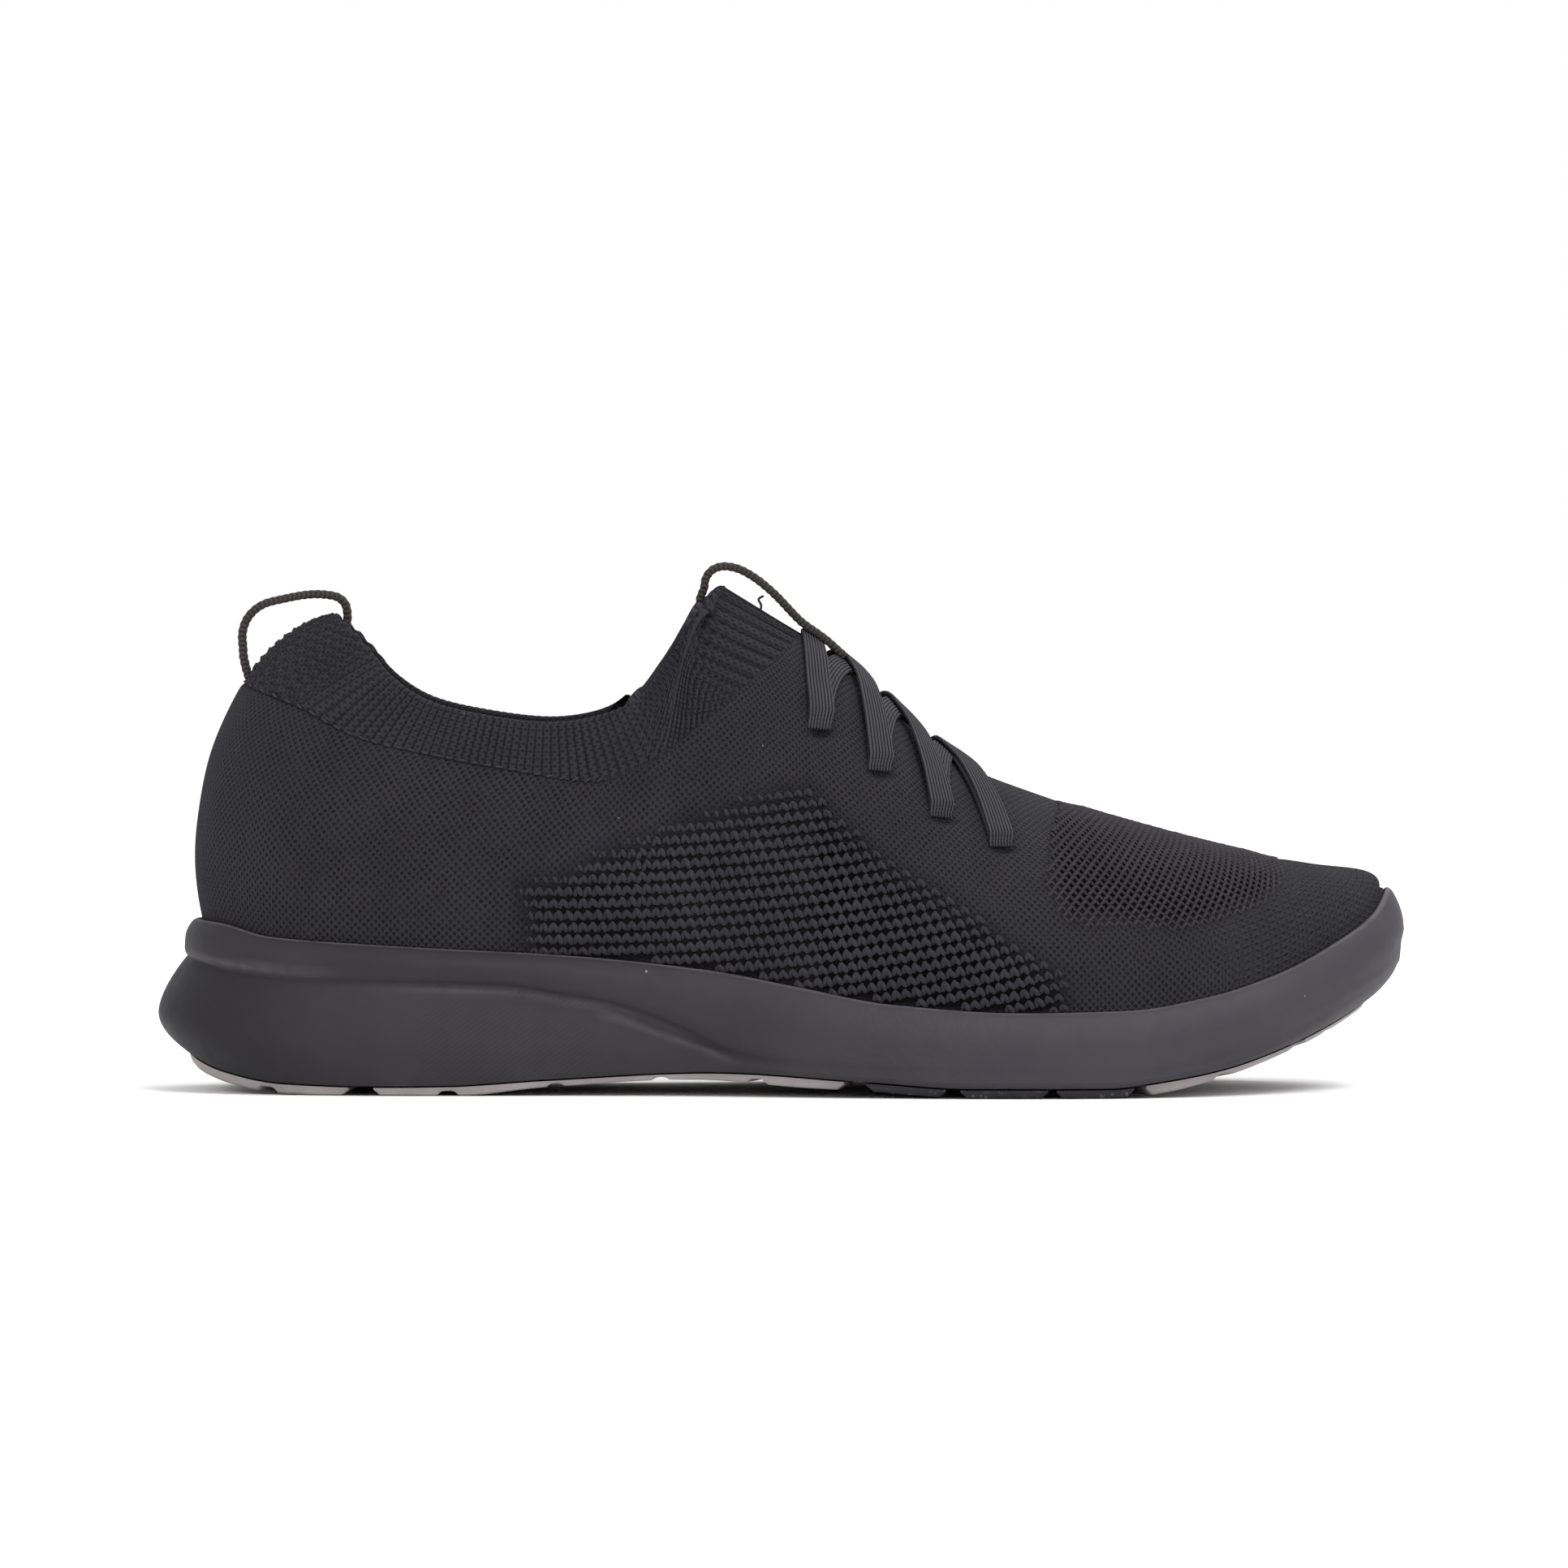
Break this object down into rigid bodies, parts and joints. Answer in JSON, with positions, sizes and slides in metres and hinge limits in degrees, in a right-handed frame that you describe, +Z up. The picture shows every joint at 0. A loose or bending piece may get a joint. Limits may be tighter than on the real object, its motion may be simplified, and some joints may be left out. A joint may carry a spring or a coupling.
{
  "type": "running shoe",
  "caption": "Right slip-on running shoe with a knit upper, ribbed sock collar, crossed elastic lace, pull loops, foam midsole and rubber outsole pads.",
  "frame": {"origin": "centre of the footprint's bounding box, on the ground", "axes": "+X from heel to toe, +Y towards the foot's inner side, +Z up"},
  "size_m": [0.2896, 0.1028, 0.1224],
  "materials": {
    "knit": "matte charcoal engineered knit",
    "rib_knit": "matte charcoal rib knit",
    "lining": "brushed textile lining",
    "collar_foam": "soft open-cell foam",
    "stiffener": "thin thermoplastic film or board",
    "lace": "flat ribbed elastic",
    "webbing": "woven polyester tape",
    "board": "stitched non-woven board",
    "insole_fabric": "textile-covered foam",
    "midsole_foam": "matte moulded foam with a fine skin",
    "taupe_rubber": "matte outsole rubber",
    "dark_rubber": "matte outsole rubber"
  },
  "bodies": {
    "root": {"knit_upper": "knit", "knit_upper_flex": "knit", "ribbed_collar": "rib_knit", "heel_counter": "stiffener", "heel_lining": "lining", "collar_padding": "collar_foam", "eyestay_backing_lateral": "stiffener", "eyestay_backing_medial": "stiffener", "elastic_lace": "lace", "heel_loop_outer_end": "webbing", "heel_loop_inner_end": "webbing", "tongue_loop_inner_end": "webbing", "tongue_loop_tail": "webbing", "strobel_board": "board", "insole": "insole_fabric", "midsole": "midsole_foam", "heel_pad": "taupe_rubber", "arch_pad_lateral": "taupe_rubber", "arch_pad_medial": "taupe_rubber", "forefoot_lug_lateral_1": "dark_rubber", "forefoot_lug_lateral_2": "dark_rubber", "forefoot_lug_medial_1": "dark_rubber", "forefoot_lug_medial_2": "dark_rubber"},
    "forefoot": {"midsole_forefoot": "midsole_foam", "knit_upper_toe": "knit", "insole_forefoot": "insole_fabric", "strobel_board_forefoot": "board", "toe_puff": "stiffener", "forefoot_lug_lateral_3": "dark_rubber", "forefoot_lug_medial_3": "dark_rubber", "toe_pad_lateral": "taupe_rubber", "toe_pad_medial": "taupe_rubber", "toe_tip_pad": "taupe_rubber"},
    "heel_loop": {"heel_loop": "webbing"},
    "tongue_loop": {"tongue_loop": "webbing"}
  },
  "joints": [
    {"name": "forefoot_flex", "type": "hinge", "parent": "root", "child": "forefoot", "pos_m": [0.06181, 0, 0.0208], "axis": [0, -1, 0], "range_deg": [0, 30], "stiffness_Nm_per_rad": 3, "deforming": ["knit_upper_flex"]},
    {"name": "heel_loop_swing", "type": "hinge", "parent": "root", "child": "heel_loop", "pos_m": [-0.12539, -0.00052, 0.1018], "axis": [0.9106, 0, 0.4132], "range_deg": [-40, 40], "stiffness_Nm_per_rad": 0.002, "deforming": ["heel_loop_outer_end", "heel_loop_inner_end"]},
    {"name": "tongue_loop_swing", "type": "hinge", "parent": "root", "child": "tongue_loop", "pos_m": [-0.01829, 0.00016, 0.1162], "axis": [0.9894, 0, -0.1453], "range_deg": [-40, 40], "stiffness_Nm_per_rad": 0.002, "deforming": ["tongue_loop_inner_end", "tongue_loop_tail"]}
  ]
}
